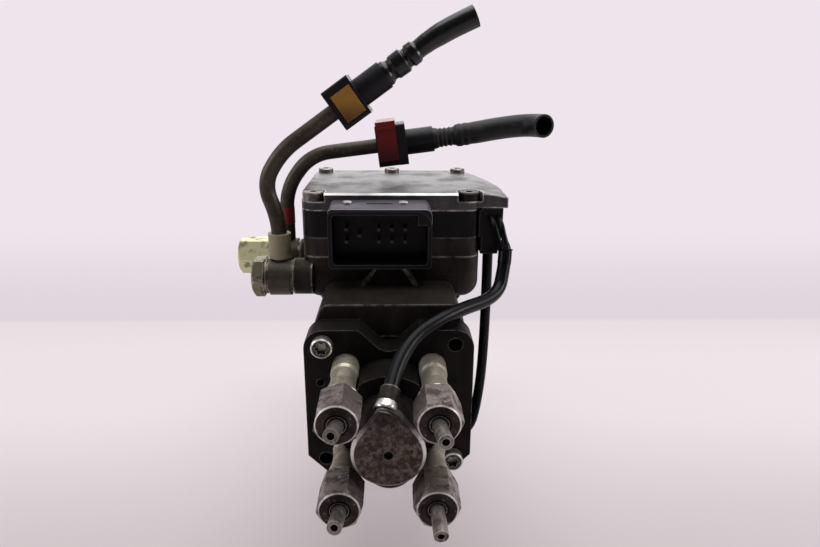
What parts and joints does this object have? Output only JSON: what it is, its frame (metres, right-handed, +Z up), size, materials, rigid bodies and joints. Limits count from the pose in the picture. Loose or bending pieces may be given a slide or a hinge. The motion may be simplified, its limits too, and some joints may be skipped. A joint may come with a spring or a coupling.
{
  "type": "diesel injection pump",
  "caption": "Distributor injection pump with a cast body, a control unit on top, hydraulic head with delivery outlets, solenoid valve, fuel tubes and cut hoses.",
  "frame": {"origin": "on the shaft axis, in the face of the mounting flange at the root of the pilot spigot", "axes": "+Y along the drive shaft towards the drive end, +Z up through the control unit, +X to the right seen from the hydraulic head"},
  "size_m": [0.176, 0.2526, 0.2404],
  "materials": {
    "cast_aluminium": "dull cast grey-brown",
    "lid_aluminium": "brighter cast lid",
    "dark_casting": "dark oil-stained casting",
    "bearing_bronze": "plain bearing",
    "seal_rubber": "matt",
    "screw_steel": "zinc plated",
    "ground_steel": "ground",
    "spring_steel": "oiled",
    "yellow_zinc": "yellow zinc plating, worn",
    "worn_steel": "worn grey-brown steel",
    "black_plastic": "glass-filled black",
    "sensor_plastic": "black",
    "board_resin": "green board",
    "tinned_pins": "tinned",
    "piston_aluminium": "turned",
    "tube_steel": "olive-grey coated steel",
    "copper_washer": "soft washer",
    "cream_plastic": "cream",
    "amber_plastic": "amber",
    "red_plastic": "red",
    "hose_rubber": "black hose",
    "lead_sheath": "black sheath"
  },
  "bodies": {
    "pump": {"pump_housing": "cast_aluminium", "shaft_bush": "bearing_bronze", "shaft_seal": "seal_rubber", "distributor_head": "dark_casting", "head_screws": "screw_steel", "plunger_barrel": "ground_steel", "delivery_holders": "yellow_zinc", "delivery_springs": "spring_steel", "union_nuts": "worn_steel", "pipe_stubs": "worn_steel", "solenoid_body": "worn_steel", "solenoid_lead": "lead_sheath", "control_plate": "cast_aluminium", "control_frame": "black_plastic", "control_lid": "lid_aluminium", "cover_screws": "screw_steel", "connector_pins": "tinned_pins", "circuit_board": "board_resin", "timing_lead": "lead_sheath", "timing_valve_body": "worn_steel", "timing_covers": "dark_casting", "timing_spring": "spring_steel", "plunger_springs": "spring_steel", "supply_cam_ring": "ground_steel", "supply_plate": "ground_steel", "front_banjo_bolt": "yellow_zinc", "rear_banjo_bolt": "yellow_zinc", "banjo_washers": "copper_washer", "front_fuel_tube": "tube_steel", "rear_fuel_tube": "tube_steel", "tube_sleeve": "cream_plastic"},
    "shaft": {"drive_shaft": "ground_steel", "shaft_key": "ground_steel", "supply_rotor": "ground_steel", "supply_vanes": "ground_steel", "trigger_wheel": "ground_steel", "coupling_disc": "ground_steel"},
    "cam": {"cam_plate": "ground_steel", "distributor_plunger": "ground_steel"},
    "bridge": {"spring_bridge": "spring_steel"},
    "rollers_and_ring": {"roller_ring": "ground_steel", "timing_pin": "ground_steel", "angle_sensor": "sensor_plastic"},
    "piston": {"timing_piston": "piston_aluminium"},
    "injection_needle": {"solenoid_needle": "ground_steel"},
    "timing_needle": {"timing_valve_needle": "ground_steel"},
    "front_coupling": {"front_connector": "black_plastic", "front_hose": "hose_rubber"},
    "rear_coupling": {"rear_connector": "black_plastic", "rear_hose": "hose_rubber"},
    "front_release": {"front_clip": "amber_plastic"},
    "rear_release": {"rear_clip": "red_plastic"},
    "roller_body_1": {"roller_1": "ground_steel"},
    "valve_body_1": {"delivery_valve_1": "ground_steel"},
    "roller_body_2": {"roller_2": "ground_steel"},
    "valve_body_2": {"delivery_valve_2": "ground_steel"},
    "roller_body_3": {"roller_3": "ground_steel"},
    "valve_body_3": {"delivery_valve_3": "ground_steel"},
    "roller_body_4": {"roller_4": "ground_steel"},
    "valve_body_4": {"delivery_valve_4": "ground_steel"}
  },
  "joints": [
    {"name": "drive_shaft_turn", "type": "hinge", "parent": "pump", "child": "shaft", "pos_m": [0, 0, 0], "axis": [0, 1, 0], "continuous": true},
    {"name": "plunger_stroke", "type": "slide", "parent": "shaft", "child": "cam", "axis": [0, -1, 0], "range_m": [-0.0022, 0]},
    {"name": "bridge_stroke", "type": "slide", "parent": "pump", "child": "bridge", "axis": [0, -1, 0], "range_m": [-0.0022, 0], "deforming": ["plunger_springs"]},
    {"name": "timing_advance", "type": "hinge", "parent": "pump", "child": "rollers_and_ring", "pos_m": [0, -0.065, 0], "axis": [0, -1, 0], "range_deg": [0, 12], "stiffness_Nm_per_rad": 0.5},
    {"name": "timing_piston_travel", "type": "slide", "parent": "pump", "child": "piston", "axis": [1, 0, 0], "range_m": [0, 0.0093], "deforming": ["timing_spring"]},
    {"name": "roller_1_turn", "type": "hinge", "parent": "rollers_and_ring", "child": "roller_body_1", "pos_m": [0.01556, -0.07, 0.01556], "axis": [0.7071, 0, 0.7071], "continuous": true},
    {"name": "roller_2_turn", "type": "hinge", "parent": "rollers_and_ring", "child": "roller_body_2", "pos_m": [-0.01556, -0.07, 0.01556], "axis": [-0.7071, 0, 0.7071], "continuous": true},
    {"name": "roller_3_turn", "type": "hinge", "parent": "rollers_and_ring", "child": "roller_body_3", "pos_m": [-0.01556, -0.07, -0.01556], "axis": [-0.7071, 0, -0.7071], "continuous": true},
    {"name": "roller_4_turn", "type": "hinge", "parent": "rollers_and_ring", "child": "roller_body_4", "pos_m": [0.01556, -0.07, -0.01556], "axis": [0.7071, 0, -0.7071], "continuous": true},
    {"name": "delivery_valve_1_lift", "type": "slide", "parent": "pump", "child": "valve_body_1", "axis": [0, -1, 0], "range_m": [0, 0.001], "stiffness_N_per_m": 1000, "deforming": ["delivery_springs"]},
    {"name": "delivery_valve_2_lift", "type": "slide", "parent": "pump", "child": "valve_body_2", "axis": [0, -1, 0], "range_m": [0, 0.001], "stiffness_N_per_m": 1000},
    {"name": "delivery_valve_3_lift", "type": "slide", "parent": "pump", "child": "valve_body_3", "axis": [0, -1, 0], "range_m": [0, 0.001], "stiffness_N_per_m": 1000},
    {"name": "delivery_valve_4_lift", "type": "slide", "parent": "pump", "child": "valve_body_4", "axis": [0, -1, 0], "range_m": [0, 0.001], "stiffness_N_per_m": 1000},
    {"name": "injection_needle_travel", "type": "slide", "parent": "pump", "child": "injection_needle", "axis": [0, -1, 0], "range_m": [0, 0.0003], "stiffness_N_per_m": 1000},
    {"name": "timing_needle_travel", "type": "slide", "parent": "pump", "child": "timing_needle", "axis": [0, -1, 0], "range_m": [0, 0.0005], "stiffness_N_per_m": 1000},
    {"name": "front_connector_turn", "type": "hinge", "parent": "pump", "child": "front_coupling", "pos_m": [-0.0202, -0.085, 0.1339], "axis": [0.8147, 0, 0.5798], "continuous": true},
    {"name": "rear_connector_turn", "type": "hinge", "parent": "pump", "child": "rear_coupling", "pos_m": [0.0012, -0.045, 0.1095], "axis": [0.9915, 0, 0.1302], "continuous": true},
    {"name": "front_clip_press", "type": "slide", "parent": "front_coupling", "child": "front_release", "axis": [0, 1, 0], "range_m": [0, 0.0015], "stiffness_N_per_m": 1000},
    {"name": "rear_clip_lift", "type": "slide", "parent": "rear_coupling", "child": "rear_release", "axis": [-0.1302, 0, 0.9915], "range_m": [0, 0.003], "stiffness_N_per_m": 400}
  ],
  "couplings": [
    {"joint": "bridge_stroke", "follows": "plunger_stroke", "ratio": 1},
    {"joint": "timing_piston_travel", "follows": "timing_advance", "m_per_rad": 0.044},
    {"joint": "roller_1_turn", "follows": "drive_shaft_turn", "ratio": 4.8889},
    {"joint": "roller_2_turn", "follows": "drive_shaft_turn", "ratio": 4.8889},
    {"joint": "roller_3_turn", "follows": "drive_shaft_turn", "ratio": 4.8889},
    {"joint": "roller_4_turn", "follows": "drive_shaft_turn", "ratio": 4.8889}
  ]
}
